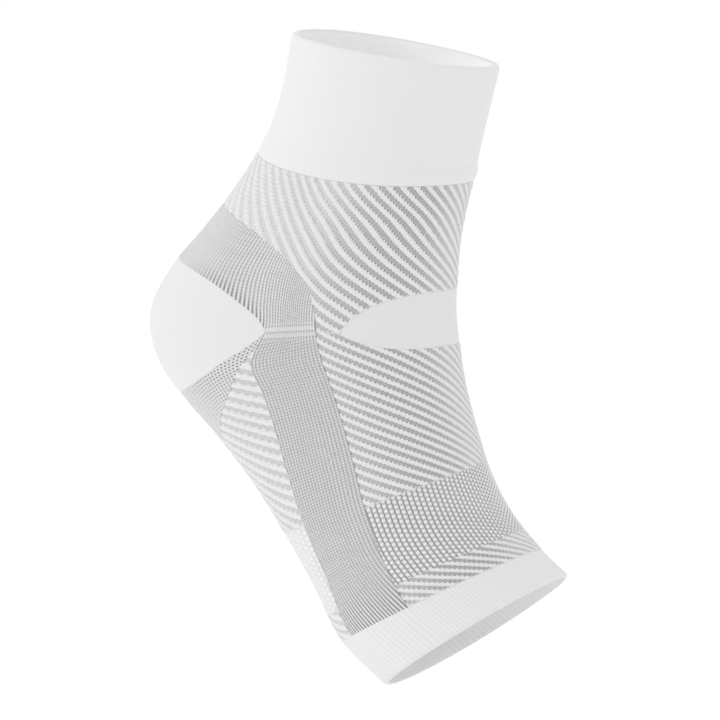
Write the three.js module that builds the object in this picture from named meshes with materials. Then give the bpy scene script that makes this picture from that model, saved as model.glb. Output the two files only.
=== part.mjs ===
import * as THREE from 'three';

// An arch support sleeve: one knitted tube that wraps the ankle, heel and mid-foot, open at the
// leg and at the toes. Each zone of the knit is a curved wall of its own.
// Millimetres, +Z up the leg, +X towards the toes, origin at the middle of the ankle.

// Size of the worn sleeve, from the middle of the ankle
const LEG_HEIGHT = 109;
const TOE_DROP = 134;
const HEEL_BACK = 57.5;
const INSTEP_FRONT = 60;
const TOE_REACH = 104;
const ANKLE_WIDTH = 70;
const FOOT_WIDTH = 85;

// Angle that a side strip takes up round the ankle, in degrees
const STRIP_ANGLE = 28;

// Thickness of the knit
const KNIT_WALL = 1.5;
const WELT_WALL = 2.4;
const TOE_WALL = 1.8;

// Folded edges: the welt's lower edge stands proud, and both free rims are rounded
const ROLL_HEIGHT = 0.9;
const ROLL_LENGTH = 8;
const ROLL_BACK_SHARE = 0.35;
const RIM_ROUNDING = 0.6;

// Gap between neighbouring zones
const ZONE_GAP = 0.36;

// Cross-sections of the outer face, from the top rim to the toe rim. Each lies in the plane of its
// rear and front point. rearX and frontX are shares of the way from the heel to the front of the
// ankle or, in the foot, to the toe rim. rearZ and frontZ are shares of the height or drop, width
// and dip are shares of the ankle or foot width. dip is how far the sides hang below the plane,
// egg moves the widest place back, the powers round the section's back and front, and
// stripMid, in degrees from the front, and stripSpan, in shares of STRIP_ANGLE, place the strip.
const LEG_SECTIONS = [
  { name: 'top rim', rearX: 0.485, rearZ: 1.000, frontX: 1.142, frontZ: 0.885, width: 0.94,
    dip: 0, egg: 0.10, backPower: 2.2, frontPower: 2.0, stripMid: 94, stripSpan: 1.00 },
  { name: 'mid welt', rearX: 0.446, rearZ: 0.790, frontX: 1.100, frontZ: 0.709, width: 0.94,
    dip: 0.02, egg: 0.08, backPower: 2.2, frontPower: 2.0, stripMid: 93, stripSpan: 1.00 },
  { name: 'welt edge', rearX: 0.369, rearZ: 0.592, frontX: 1.052, frontZ: 0.495, width: 0.95,
    dip: 0.05, egg: 0.05, backPower: 2.2, frontPower: 2.0, stripMid: 91.5, stripSpan: 0.96 },
  { name: 'calf', rearX: 0.262, rearZ: 0.427, frontX: 1.026, frontZ: 0.382, width: 0.97,
    dip: 0.04, egg: 0.03, backPower: 2.1, frontPower: 2.0, stripMid: 89, stripSpan: 0.93 },
  { name: 'sling top', rearX: 0.168, rearZ: 0.306, frontX: 1.011, frontZ: 0.292, width: 0.99,
    dip: 0.02, egg: 0, backPower: 2.1, frontPower: 2.0, stripMid: 86.5, stripSpan: 0.82 },
  { name: 'heel top', rearX: 0.079, rearZ: 0.196, frontX: 1.004, frontZ: 0.206, width: 1.00,
    dip: 0.01, egg: 0, backPower: 2.1, frontPower: 2.0, stripMid: 84.5, stripSpan: 0.75 },
  { name: 'upper heel', rearX: 0.011, rearZ: 0.067, frontX: 1.000, frontZ: 0.119, width: 1.03,
    dip: 0, egg: 0, backPower: 2.1, frontPower: 2.0, stripMid: 82.8, stripSpan: 0.66 },
  { name: 'mid heel', rearX: 0.001, rearZ: -0.032, frontX: 1.000, frontZ: 0.044, width: 1.03,
    dip: 0, egg: 0, backPower: 2.1, frontPower: 2.0, stripMid: 82.8, stripSpan: 0.66 },
];
const FOOT_SECTIONS = [
  { name: 'lower heel', rearX: 0.029, rearZ: 0.125, frontX: 0.733, frontZ: 0.032, width: 0.85,
    dip: 0, egg: 0, backPower: 2.1, frontPower: 2.0, stripMid: 87, stripSpan: 0.96 },
  { name: 'rear arch', rearX: 0.093, rearZ: 0.217, frontX: 0.740, frontZ: 0.110, width: 0.85,
    dip: 0, egg: 0, backPower: 2.2, frontPower: 2.0, stripMid: 88.2, stripSpan: 1.02 },
  { name: 'mid arch', rearX: 0.174, rearZ: 0.315, frontX: 0.754, frontZ: 0.200, width: 0.85,
    dip: 0, egg: 0.05, backPower: 2.3, frontPower: 2.1, stripMid: 89.8, stripSpan: 1.12 },
  { name: 'front arch', rearX: 0.267, rearZ: 0.443, frontX: 0.777, frontZ: 0.302, width: 0.87,
    dip: 0, egg: 0.08, backPower: 2.4, frontPower: 2.1, stripMid: 95, stripSpan: 1.29 },
  { name: 'rear ball', rearX: 0.351, rearZ: 0.589, frontX: 0.806, frontZ: 0.409, width: 0.92,
    dip: 0, egg: 0.10, backPower: 2.4, frontPower: 2.1, stripMid: 99.8, stripSpan: 1.41 },
  { name: 'mid ball', rearX: 0.416, rearZ: 0.715, frontX: 0.850, frontZ: 0.508, width: 0.96,
    dip: 0, egg: 0.12, backPower: 2.4, frontPower: 2.1, stripMid: 102.2, stripSpan: 1.45 },
  { name: 'toe band', rearX: 0.487, rearZ: 0.874, frontX: 0.925, frontZ: 0.608, width: 1.00,
    dip: 0, egg: 0.12, backPower: 2.3, frontPower: 2.0, stripMid: 105.8, stripSpan: 1.59 },
  { name: 'toe rim', rearX: 0.592, rearZ: 0.993, frontX: 0.988, frontZ: 0.675, width: 1.00,
    dip: 0, egg: 0.12, backPower: 2.2, frontPower: 2.0, stripMid: 107, stripSpan: 1.64 },
];

// Borders of the zones. A station is a place along the sleeve, with section rows at whole numbers.
// Wale places run round it: 0 is the front, 1 and 2 are the strip's edges, and 3 is the back.
const FRONT = 0;
const STRIP_FRONT = 1;
const STRIP_REAR = 2;
const BACK = 3;
const TOP_RIM = 0;
const WELT_EDGE = 2;
const HEEL_TURN = 7.1;
const TOE_BAND = 14;
const TOE_RIM = 15;

// Upper border of the heel sling, from the side of the ankle round to the back
const SLING_BORDER = [
  { wale: 1.03, station: 6.15 },
  { wale: 1.12, station: 5.72 },
  { wale: 1.35, station: 5.22 },
  { wale: 1.70, station: 4.76 },
  { wale: 2.05, station: 4.14 },
  { wale: 2.32, station: 3.50 },
  { wale: 2.58, station: 3.20 },
  { wale: 3.00, station: 3.10 },
];

// Wedge borders of the heel: how far each reaches from its start at the strip to the back
const CUP_UPPER = { start: HEEL_TURN, reach: -2.35, power: 2.8 };
const CUP_LOWER = { start: HEEL_TURN, reach: 1.72, power: 2.6 };
const GUSSET_END = { start: 7.55, reach: 3.15, power: 1.72 };

// Plain leaf-shaped panel over the instep
const LEAF = { tipWale: 0.81, tipStation: 7.3, above: 1.45, below: 0.85, power: 4.3 };

// Half height left at the pointed ends of the leaf and the heel cup, in stations
const TIP_HALF = 0.06;

// Cushioned panels over and under the ball of the foot
const CUSHION_START = 11.64;
const CUSHION_START_SLANT = 0.26;
const CUSHION_END = 13.45;
const CUSHION_END_SLANT = 0.1;

const SOLE_CUSHION_START = CUSHION_START + CUSHION_START_SLANT;
const SOLE_CUSHION_END = CUSHION_END + CUSHION_END_SLANT;

// Mesh steps: round a full ring, across each border piece and along each zone
const RING_STEPS = 48;
const SLING_STEPS = 15;
const SLING_SIDE_STEPS = 4;
const WEDGE_STEPS = SLING_STEPS - SLING_SIDE_STEPS;
const WEDGE_CROWDING = 1.6;
const LEAF_STEPS = 7;
const PANEL_STEPS = LEAF_STEPS + 1;
const STRIP_STEPS = 4;
const ANKLE_STEPS = 8;
const LEAF_STEPS_ALONG = 4;
const SLING_STEPS_ALONG = 6;
const CUP_STEPS = 8;
const GUSSET_STEPS = 4;
const WELT_STEPS = 4;
const ROLL_STEPS = 4;
const BAND_STEPS = 3;

// Rows along a side strip, with a stop wherever a neighbour of it starts
const STRIP_RUNS = [
  { start: HEEL_TURN, end: GUSSET_END.start, steps: 1 },
  { start: GUSSET_END.start, end: SOLE_CUSHION_START, steps: 10 },
  { start: SOLE_CUSHION_START, end: SOLE_CUSHION_END, steps: 4 },
  { start: SOLE_CUSHION_END, end: TOE_BAND, steps: 1 },
];

// Colours of the yarns
const WHITE_YARN = 0xf1f1f2;
const GREY_YARN = 0xb9b9bb;
const RIB_YARN = 0xd9d9da;
const CUSHION_YARN = 0xc4c4c6;
const KNIT_ROUGHNESS = 0.9;
const BAND_ROUGHNESS = 0.85;

// Section rows in millimetres, with their place along the sleeve
function sectionRow(row, rearSpan, frontSpan, height, widthSize) {
  return {
    rearX: -HEEL_BACK + row.rearX * rearSpan,
    rearZ: row.rearZ * height,
    frontX: -HEEL_BACK + row.frontX * frontSpan,
    frontZ: row.frontZ * height,
    halfWidth: row.width * widthSize / 2,
    dip: row.dip * widthSize,
    egg: row.egg,
    backPower: row.backPower,
    frontPower: row.frontPower,
    stripFront: row.stripMid - row.stripSpan * STRIP_ANGLE / 2,
    stripRear: row.stripMid + row.stripSpan * STRIP_ANGLE / 2,
  };
}

function sectionRows() {
  const legSpan = HEEL_BACK + INSTEP_FRONT;
  const footSpan = HEEL_BACK + TOE_REACH;
  return [
    ...LEG_SECTIONS.map((row) => sectionRow(row, legSpan, legSpan, LEG_HEIGHT, ANKLE_WIDTH)),
    ...FOOT_SECTIONS.map((row) => sectionRow(row, footSpan, footSpan, -TOE_DROP, FOOT_WIDTH)),
  ];
}

function rowDistance(a, b) {
  const rear = Math.hypot(b.rearX - a.rearX, b.rearZ - a.rearZ);
  const front = Math.hypot(b.frontX - a.frontX, b.frontZ - a.frontZ);
  return (rear + front) / 2;
}

const ROWS = sectionRows();
const COLUMNS = Object.keys(ROWS[0]);
const PLACES = [0];
for (let i = 1; i < ROWS.length; i += 1) {
  PLACES.push(PLACES[i - 1] + rowDistance(ROWS[i - 1], ROWS[i]));
}

// Slope of a column at a row, for a smooth curve through rows that are unevenly spaced
function slopeAt(column, i) {
  const before = Math.max(i - 1, 0);
  const after = Math.min(i + 1, ROWS.length - 1);
  if (before === i || after === i) {
    return (ROWS[after][column] - ROWS[before][column]) / (PLACES[after] - PLACES[before]);
  }
  const stepIn = PLACES[i] - PLACES[before];
  const stepOut = PLACES[after] - PLACES[i];
  const slopeIn = (ROWS[i][column] - ROWS[before][column]) / stepIn;
  const slopeOut = (ROWS[after][column] - ROWS[i][column]) / stepOut;
  return (slopeIn * stepOut + slopeOut * stepIn) / (stepIn + stepOut);
}

const SLOPES = ROWS.map((row, i) => (
  Object.fromEntries(COLUMNS.map((column) => [column, slopeAt(column, i)]))
));

function hermite(from, slopeFrom, to, slopeTo, step, share) {
  const square = share * share;
  const cube = square * share;
  return from * (2 * cube - 3 * square + 1)
    + slopeFrom * step * (cube - 2 * square + share)
    + to * (3 * square - 2 * cube)
    + slopeTo * step * (cube - square);
}

// The section at a station, between rows too
function sectionAt(station) {
  const i = THREE.MathUtils.clamp(Math.floor(station), 0, ROWS.length - 2);
  const step = PLACES[i + 1] - PLACES[i];
  const share = station - i;
  const section = {};
  for (const column of COLUMNS) {
    section[column] = hermite(
      ROWS[i][column], SLOPES[i][column], ROWS[i + 1][column], SLOPES[i + 1][column], step, share,
    );
  }
  return section;
}

// Angle of a wale place round its section, smooth across the strip's edges
function waleAngle(section, wale) {
  const marks = [0, section.stripFront, section.stripRear, 180];
  const steps = [marks[1], marks[2] - marks[1], marks[3] - marks[2]];
  const blend = (a, b) => 2 * a * b / (a + b);
  const slopes = [steps[0], blend(steps[0], steps[1]), blend(steps[1], steps[2]), steps[2]];
  const size = Math.abs(wale);
  const i = Math.min(Math.floor(size), 2);
  const angle = hermite(marks[i], slopes[i], marks[i + 1], slopes[i + 1], 1, size - i);
  return THREE.MathUtils.degToRad(angle) * Math.sign(wale);
}

// A wale place past the back belongs to the other side
function wrapWale(wale) {
  if (wale > BACK) {
    return wale - 2 * BACK;
  }
  return wale < -BACK ? wale + 2 * BACK : wale;
}

// Point of the outer face. Positive wale places lie on the side facing -Y.
function outerPoint(wale, station) {
  const section = sectionAt(station);
  const angle = waleAngle(section, wrapWale(wale));
  const along = Math.cos(angle);
  const across = Math.sin(angle);
  const power = along >= 0 ? section.frontPower : section.backPower;
  const reach = (Math.abs(along) ** power + Math.abs(across) ** power) ** (-1 / power);
  const depth = along * reach;
  const side = across * reach;
  const eggDepth = depth * (1 + (depth >= 0 ? section.egg : -section.egg)) - section.egg;
  const middleX = (section.rearX + section.frontX) / 2;
  const middleZ = (section.rearZ + section.frontZ) / 2;
  return new THREE.Vector3(
    middleX + eggDepth * (section.frontX - section.rearX) / 2,
    -side * section.halfWidth,
    middleZ + eggDepth * (section.frontZ - section.rearZ) / 2 - section.dip * side * side,
  );
}

// Steps used to take slopes of the outer face
const SLOPE_STEP = 0.002;

function slopesOfFace(wale, station) {
  const low = Math.max(station - SLOPE_STEP, TOP_RIM);
  const high = Math.min(station + SLOPE_STEP, TOE_RIM);
  const left = wale - SLOPE_STEP;
  const right = wale + SLOPE_STEP;
  const round = outerPoint(right, station).sub(outerPoint(left, station)).divideScalar(right - left);
  const down = outerPoint(wale, high).sub(outerPoint(wale, low)).divideScalar(high - low);
  return { round, down };
}

// Point at a distance from the outer face, positive outwards
function wallPoint(wale, station, offset) {
  const { round, down } = slopesOfFace(wale, station);
  const outward = new THREE.Vector3().crossVectors(round, down).normalize();
  return outerPoint(wale, station).addScaledVector(outward, offset);
}

// A border drawn in by half the gap, towards the inside of its zone. points run round the zone
// with its inside on the right when seen with stations increasing downwards and wales rightwards.
function drawnIn(points, closedLoop) {
  const count = points.length;
  return points.map((point, i) => {
    const before = points[(i + count - 1) % count];
    const after = points[(i + 1) % count];
    const { round, down } = slopesOfFace(point.wale, point.station);
    const scaleU = round.length();
    const scaleV = down.length();
    const normal = (from, to) => {
      const du = (to.wale - from.wale) * scaleU;
      const dv = (to.station - from.station) * scaleV;
      const size = Math.hypot(du, dv);
      return { u: -dv / size, v: du / size };
    };
    const first = !closedLoop && i === 0;
    const last = !closedLoop && i === count - 1;
    const inNormal = first ? normal(point, after) : normal(before, point);
    const outNormal = last ? inNormal : normal(point, after);
    const spread = 1 + inNormal.u * outNormal.u + inNormal.v * outNormal.v;
    const shift = ZONE_GAP / 2 / Math.max(spread, 0.4);
    return {
      wale: point.wale + (inNormal.u + outNormal.u) * shift / scaleU,
      station: THREE.MathUtils.clamp(
        point.station + (inNormal.v + outNormal.v) * shift / scaleV, TOP_RIM, TOE_RIM,
      ),
    };
  });
}

// Both borders of an open zone, drawn in on all four sides
function drawnInPatch(top, bottom) {
  const loop = drawnIn([...top, ...[...bottom].reverse()], true);
  return { top: loop.slice(0, top.length), bottom: loop.slice(top.length).reverse() };
}

// Both borders of a zone that goes all the way round. Its first place is also its last.
function drawnInRing(top, bottom) {
  const drawOne = (border, inside) => {
    const turn = 2 * BACK;
    const last = border[border.length - 1];
    const lead = { wale: last.wale - turn, station: last.station };
    const tail = { wale: border[0].wale + turn, station: border[0].station };
    const run = [lead, ...border, tail];
    const drawn = drawnIn(inside > 0 ? run : run.reverse(), false).slice(1, -1);
    return inside > 0 ? drawn : drawn.reverse();
  };
  return { top: drawOne(top, 1), bottom: drawOne(bottom, -1) };
}

// Closed wall between two borders. outer and inner give the offsets of its faces for a share of
// the way down and a wale place.
function wallGeometry(top, bottom, ring, shares, outer, inner) {
  const columns = top.length;
  const rows = shares.length;
  const positions = [];
  for (const offset of [outer, inner]) {
    for (let r = 0; r < rows; r += 1) {
      for (let c = 0; c < columns; c += 1) {
        const wale = THREE.MathUtils.lerp(top[c].wale, bottom[c].wale, shares[r]);
        const station = THREE.MathUtils.lerp(top[c].station, bottom[c].station, shares[r]);
        const point = wallPoint(wale, station, offset(shares[r], wale));
        positions.push(point.x, point.y, point.z);
      }
    }
  }
  const at = (layer, r, c) => (layer * rows + r) * columns + (c % columns);
  const index = [];
  const quad = (a, b, c, d) => index.push(a, c, b, a, d, c);
  const spans = ring ? columns : columns - 1;
  for (let c = 0; c < spans; c += 1) {
    for (let r = 0; r < rows - 1; r += 1) {
      quad(at(0, r, c), at(0, r + 1, c), at(0, r + 1, c + 1), at(0, r, c + 1));
      quad(at(1, r, c), at(1, r, c + 1), at(1, r + 1, c + 1), at(1, r + 1, c));
    }
    quad(at(0, 0, c), at(0, 0, c + 1), at(1, 0, c + 1), at(1, 0, c));
    quad(at(0, rows - 1, c + 1), at(0, rows - 1, c), at(1, rows - 1, c), at(1, rows - 1, c + 1));
  }
  if (!ring) {
    for (let r = 0; r < rows - 1; r += 1) {
      quad(at(0, r + 1, 0), at(0, r, 0), at(1, r, 0), at(1, r + 1, 0));
      quad(at(0, r, spans), at(0, r + 1, spans), at(1, r + 1, spans), at(1, r, spans));
    }
  }
  const geometry = new THREE.BufferGeometry();
  geometry.setAttribute('position', new THREE.Float32BufferAttribute(positions, 3));
  geometry.setIndex(index);
  geometry.computeVertexNormals();
  return geometry;
}

// Shares of the way for a zone beside a strip, so that both have their rows at the same stations
function stripShares(from, to) {
  const stops = [];
  for (const { start, end, steps } of STRIP_RUNS) {
    for (let i = 0; i < steps; i += 1) {
      stops.push(start + (end - start) * i / steps);
    }
  }
  const inside = [...stops, TOE_BAND].filter((station) => station > from && station < to);
  return [from, ...inside, to].map((station) => (station - from) / (to - from));
}

function evenShares(steps) {
  return Array.from({ length: steps + 1 }, (_, i) => i / steps);
}

const sleeve = new THREE.Group();

function addZone(name, geometry, color, roughness) {
  const material = new THREE.MeshStandardMaterial({ color, roughness, metalness: 0 });
  const mesh = new THREE.Mesh(geometry, material);
  mesh.name = name;
  sleeve.add(mesh);
}

const flush = () => 0;
const knitInside = () => -KNIT_WALL;

function addPatch(name, top, bottom, shares, color) {
  const borders = drawnInPatch(top, bottom);
  const wall = wallGeometry(borders.top, borders.bottom, false, shares, flush, knitInside);
  addZone(name, wall, color, KNIT_ROUGHNESS);
}

// A border of the right half carried on over the front or round the back to the left half
function overFront(half) {
  const mirrored = half.slice(1).reverse().map(({ wale, station }) => ({ wale: -wale, station }));
  return [...mirrored, ...half];
}

function roundBack(half) {
  const mirrored = half.slice(0, -1).reverse();
  return [...half, ...mirrored.map(({ wale, station }) => ({ wale: 2 * BACK - wale, station }))];
}

function level(station, from, to, steps) {
  return evenShares(steps).map((share) => ({ wale: THREE.MathUtils.lerp(from, to, share), station }));
}

function ringBorder(station) {
  return level(station, -BACK, BACK, RING_STEPS).slice(0, -1);
}

function wedgeBorder(wedge) {
  return evenShares(WEDGE_STEPS).map((share) => {
    const place = share ** WEDGE_CROWDING;
    const rise = 1 - (1 - place) ** wedge.power;
    return { wale: STRIP_REAR + place, station: wedge.start + wedge.reach * rise };
  });
}

// The same border with its first place moved along the sleeve, to leave a pointed end some height
function bluntStart(border, shift) {
  const [first, ...rest] = border;
  return [{ wale: first.wale, station: first.station + shift }, ...rest];
}

// side is -1 for the border above the leaf and 1 for the border below it
function leafBorder(side) {
  const reach = side < 0 ? LEAF.above : LEAF.below;
  return evenShares(LEAF_STEPS).map((share) => {
    const place = 1 - (1 - share) ** WEDGE_CROWDING;
    const height = TIP_HALF + (reach - TIP_HALF) * (1 - place ** LEAF.power);
    return { wale: place * LEAF.tipWale, station: LEAF.tipStation + side * height };
  });
}

// Border of the ribs beside the leaf, from the front to the strip's front edge
function ribBorder(side) {
  return [...leafBorder(side), { wale: STRIP_FRONT, station: HEEL_TURN }];
}

// Cushion borders slant a little towards the toes on their way from the front to the strips
function cushionBorder(station, slant) {
  return evenShares(PANEL_STEPS).map((share) => ({ wale: share, station: station + slant * share }));
}

function sameWales(border, station) {
  return border.map(({ wale }) => ({ wale, station }));
}

const slingCurve = new THREE.SplineCurve(
  SLING_BORDER.map(({ wale, station }) => new THREE.Vector2(wale, station)),
);
const slingUpper = slingCurve.getSpacedPoints(SLING_STEPS).map(({ x, y }) => ({ wale: x, station: y }));
const cupUpper = bluntStart(wedgeBorder(CUP_UPPER), -TIP_HALF);
const cupLower = bluntStart(wedgeBorder(CUP_LOWER), TIP_HALF);
const gussetEnd = wedgeBorder(GUSSET_END);
const slingSide = level(HEEL_TURN, STRIP_FRONT, STRIP_REAR, SLING_SIDE_STEPS);
const slingLower = [...slingSide.slice(0, -1), ...cupUpper];
const cushionStart = cushionBorder(CUSHION_START, CUSHION_START_SLANT);
const cushionEnd = cushionBorder(CUSHION_END, CUSHION_END_SLANT);

// White double-layer welt round the ankle, with a rounded rim and a lower edge that rolls
// outwards, most of all at the front
function addAnkleCuff() {
  const rings = drawnInRing(ringBorder(TOP_RIM), ringBorder(WELT_EDGE));
  const length = PLACES[WELT_EDGE];
  const rollShare = ROLL_LENGTH / length;
  const rimShare = RIM_ROUNDING / length;
  const rounding = (share) => (share < rimShare ? RIM_ROUNDING : 0);
  const outer = (share, wale) => {
    const into = Math.max(0, (share - 1 + rollShare) / rollShare);
    const height = THREE.MathUtils.lerp(ROLL_HEIGHT, ROLL_HEIGHT * ROLL_BACK_SHARE, Math.abs(wale) / BACK);
    return height * Math.sin(into * Math.PI) - rounding(share);
  };
  const inner = (share) => rounding(share) - WELT_WALL;
  const plain = evenShares(WELT_STEPS).map((share) => rimShare + share * (1 - rollShare - rimShare));
  const rolled = evenShares(ROLL_STEPS).slice(1).map((share) => 1 - rollShare * (1 - share));
  const wall = wallGeometry(rings.top, rings.bottom, true, [0, ...plain, ...rolled], outer, inner);
  addZone('ankle_cuff', wall, WHITE_YARN, BAND_ROUGHNESS);
}

// White elastic band round the toe end, with a rounded rim
function addToeBand() {
  const rings = drawnInRing(ringBorder(TOE_BAND), ringBorder(TOE_RIM));
  const rimShare = RIM_ROUNDING / (PLACES[TOE_RIM] - PLACES[TOE_BAND]);
  const rounding = (share) => (share > 1 - rimShare ? RIM_ROUNDING : 0);
  const outer = (share) => -rounding(share);
  const inner = (share) => rounding(share) - TOE_WALL;
  const plain = evenShares(BAND_STEPS).map((share) => share * (1 - rimShare));
  const wall = wallGeometry(rings.top, rings.bottom, true, [...plain, 1], outer, inner);
  addZone('toe_band', wall, WHITE_YARN, BAND_ROUGHNESS);
}

// Ribbed knit all round the lower leg, down to the leaf and the heel sling
function addAnkleRibs() {
  const half = [...ribBorder(-1), ...slingUpper];
  const lower = overFront(half).slice(1);
  const rings = drawnInRing(sameWales(lower, WELT_EDGE), lower);
  const shares = evenShares(ANKLE_STEPS);
  const wall = wallGeometry(rings.top, rings.bottom, true, shares, flush, knitInside);
  addZone('ankle_ribs', wall, RIB_YARN, KNIT_ROUGHNESS);
}

// Zones over the instep and the toes, between the strips
function addFrontZones() {
  addPatch('instep_panel', overFront(leafBorder(-1)), overFront(leafBorder(1)),
    evenShares(LEAF_STEPS_ALONG), WHITE_YARN);
  addPatch('instep_ribs', overFront(ribBorder(1)), overFront(cushionStart),
    stripShares(HEEL_TURN, SOLE_CUSHION_START), RIB_YARN);
  addPatch('metatarsal_panel', overFront(cushionStart), overFront(cushionEnd),
    stripShares(SOLE_CUSHION_START, SOLE_CUSHION_END), CUSHION_YARN);
  addPatch('toe_ribs', overFront(cushionEnd), overFront(cushionBorder(TOE_BAND, 0)),
    stripShares(SOLE_CUSHION_END, TOE_BAND), RIB_YARN);
}

// Zones round the back of the heel and under the foot, from strip to strip
function addBackZones() {
  addPatch('heel_sling', roundBack(slingUpper), roundBack(slingLower),
    evenShares(SLING_STEPS_ALONG), GREY_YARN);
  addPatch('heel_cup', roundBack(cupUpper), roundBack(cupLower),
    evenShares(CUP_STEPS), WHITE_YARN);
  addPatch('arch_gusset', roundBack(cupLower), roundBack(gussetEnd),
    evenShares(GUSSET_STEPS), GREY_YARN);
  addPatch('sole_ribs', roundBack(gussetEnd), roundBack(sameWales(gussetEnd, SOLE_CUSHION_START)),
    stripShares(GUSSET_END.start, SOLE_CUSHION_START), RIB_YARN);
  addPatch('ball_panel', roundBack(level(SOLE_CUSHION_START, STRIP_REAR, BACK, PANEL_STEPS)),
    roundBack(level(SOLE_CUSHION_END, STRIP_REAR, BACK, PANEL_STEPS)),
    stripShares(SOLE_CUSHION_START, SOLE_CUSHION_END), CUSHION_YARN);
  addPatch('ball_ribs', roundBack(level(SOLE_CUSHION_END, STRIP_REAR, BACK, PANEL_STEPS)),
    roundBack(level(TOE_BAND, STRIP_REAR, BACK, PANEL_STEPS)),
    stripShares(SOLE_CUSHION_END, TOE_BAND), RIB_YARN);
}

// Grey support strips down both sides of the foot
function addSideStrips() {
  const sides = [
    { name: 'side_strip_right', from: STRIP_FRONT, to: STRIP_REAR },
    { name: 'side_strip_left', from: -STRIP_REAR, to: -STRIP_FRONT },
  ];
  for (const { name, from, to } of sides) {
    addPatch(name, level(HEEL_TURN, from, to, STRIP_STEPS), level(TOE_BAND, from, to, STRIP_STEPS),
      stripShares(HEEL_TURN, TOE_BAND), GREY_YARN);
  }
}

addAnkleCuff();
addAnkleRibs();
addFrontZones();
addBackZones();
addSideStrips();
addToeBand();

export default sleeve;
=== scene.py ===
import math

import bpy
import numpy as np
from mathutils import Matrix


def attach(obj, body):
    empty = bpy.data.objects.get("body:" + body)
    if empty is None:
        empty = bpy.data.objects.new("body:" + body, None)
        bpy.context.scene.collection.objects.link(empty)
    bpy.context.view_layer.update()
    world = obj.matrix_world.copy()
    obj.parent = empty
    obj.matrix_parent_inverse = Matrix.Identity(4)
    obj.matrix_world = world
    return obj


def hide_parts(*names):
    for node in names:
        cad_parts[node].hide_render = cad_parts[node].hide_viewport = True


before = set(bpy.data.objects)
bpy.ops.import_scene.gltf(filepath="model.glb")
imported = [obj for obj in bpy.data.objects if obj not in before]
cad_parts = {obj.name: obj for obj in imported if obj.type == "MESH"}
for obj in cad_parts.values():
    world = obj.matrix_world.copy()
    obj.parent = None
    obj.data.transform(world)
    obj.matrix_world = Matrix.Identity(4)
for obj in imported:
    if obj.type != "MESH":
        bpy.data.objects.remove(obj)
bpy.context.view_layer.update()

# An arch support sleeve in knitted cloth. Lengths are in metres, in the frame's own axes:
# +Z up the leg, +X towards the toes and the origin at the middle of the ankle.
MM = 0.001

# Size of the worn sleeve, from the middle of the ankle
LEG_HEIGHT = 109 * MM
TOE_DROP = 134 * MM
HEEL_BACK = 57.5 * MM
INSTEP_FRONT = 60 * MM
TOE_REACH = 104 * MM
ANKLE_WIDTH = 70 * MM
FOOT_WIDTH = 85 * MM
STRIP_ANGLE = 28

# Camera: the photograph's angle, distance and frame
CAMERA_AZIMUTH = 19.0
CAMERA_ELEVATION = 5.3
CAMERA_DISTANCE = 4.0
FRAME_PIXELS = 720
METRES_PER_PIXEL = 0.37 * MM
CAMERA_TARGET = (23.5 * MM, 0.0, -13.0 * MM)
SENSOR_WIDTH = 36.0

# Cross-sections of the outer face, from the top rim to the toe rim, as shares of the sizes above.
# The columns are: place of the rear point and the front point, width, dip of the sides, egg shape,
# powers of the back and front curve, middle of the side strip in degrees, span of the strip,
# height of a course in millimetres, and how many stitches the wales sway forwards at the side.
COLUMNS = (
    "rear_x", "rear_z", "front_x", "front_z", "width", "dip", "egg",
    "back_power", "front_power", "strip_mid", "strip_span", "course", "sway",
)
LEG_SECTIONS = (
    (0.485, 1.000, 1.142, 0.885, 0.94, 0.00, 0.10, 2.2, 2.0, 94.0, 1.00, 1.40, 2.0),
    (0.446, 0.790, 1.100, 0.709, 0.94, 0.02, 0.08, 2.2, 2.0, 93.0, 1.00, 1.40, 2.5),
    (0.369, 0.592, 1.052, 0.495, 0.95, 0.05, 0.05, 2.2, 2.0, 91.5, 0.96, 1.40, 2.9),
    (0.262, 0.427, 1.026, 0.382, 0.97, 0.04, 0.03, 2.1, 2.0, 89.0, 0.93, 1.46, 4.3),
    (0.168, 0.306, 1.011, 0.292, 0.99, 0.02, 0.00, 2.1, 2.0, 86.5, 0.82, 1.50, 1.2),
    (0.079, 0.196, 1.004, 0.206, 1.00, 0.01, 0.00, 2.1, 2.0, 84.5, 0.75, 1.36, 0.0),
    (0.011, 0.067, 1.000, 0.119, 1.03, 0.00, 0.00, 2.1, 2.0, 82.8, 0.66, 1.24, 0.0),
    (0.001, -0.032, 1.000, 0.044, 1.03, 0.00, 0.00, 2.1, 2.0, 82.8, 0.66, 1.19, 0.0),
)
FOOT_SECTIONS = (
    (0.029, 0.125, 0.733, 0.032, 0.85, 0.00, 0.00, 2.1, 2.0, 87.0, 0.96, 1.18, 0.0),
    (0.093, 0.217, 0.740, 0.110, 0.85, 0.00, 0.00, 2.2, 2.0, 88.2, 1.02, 1.18, 0.0),
    (0.174, 0.315, 0.754, 0.200, 0.85, 0.00, 0.05, 2.3, 2.1, 89.8, 1.12, 1.18, 0.0),
    (0.267, 0.443, 0.777, 0.302, 0.87, 0.00, 0.08, 2.4, 2.1, 95.0, 1.29, 1.10, 0.0),
    (0.351, 0.589, 0.806, 0.409, 0.92, 0.00, 0.10, 2.4, 2.1, 99.8, 1.41, 1.01, 0.0),
    (0.416, 0.715, 0.850, 0.508, 0.96, 0.00, 0.12, 2.4, 2.1, 102.2, 1.45, 0.98, 1.0),
    (0.487, 0.874, 0.925, 0.608, 1.00, 0.00, 0.12, 2.3, 2.0, 105.8, 1.59, 0.98, 5.5),
    (0.592, 0.993, 0.988, 0.675, 1.00, 0.00, 0.12, 2.2, 2.0, 107.0, 1.64, 1.00, 7.0),
)

# Walls of the knit, 0.1 mm thinner than those of the solids
KNIT_WALL = 1.4 * MM
WELT_WALL = 2.3 * MM
TOE_WALL = 1.7 * MM
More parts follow.
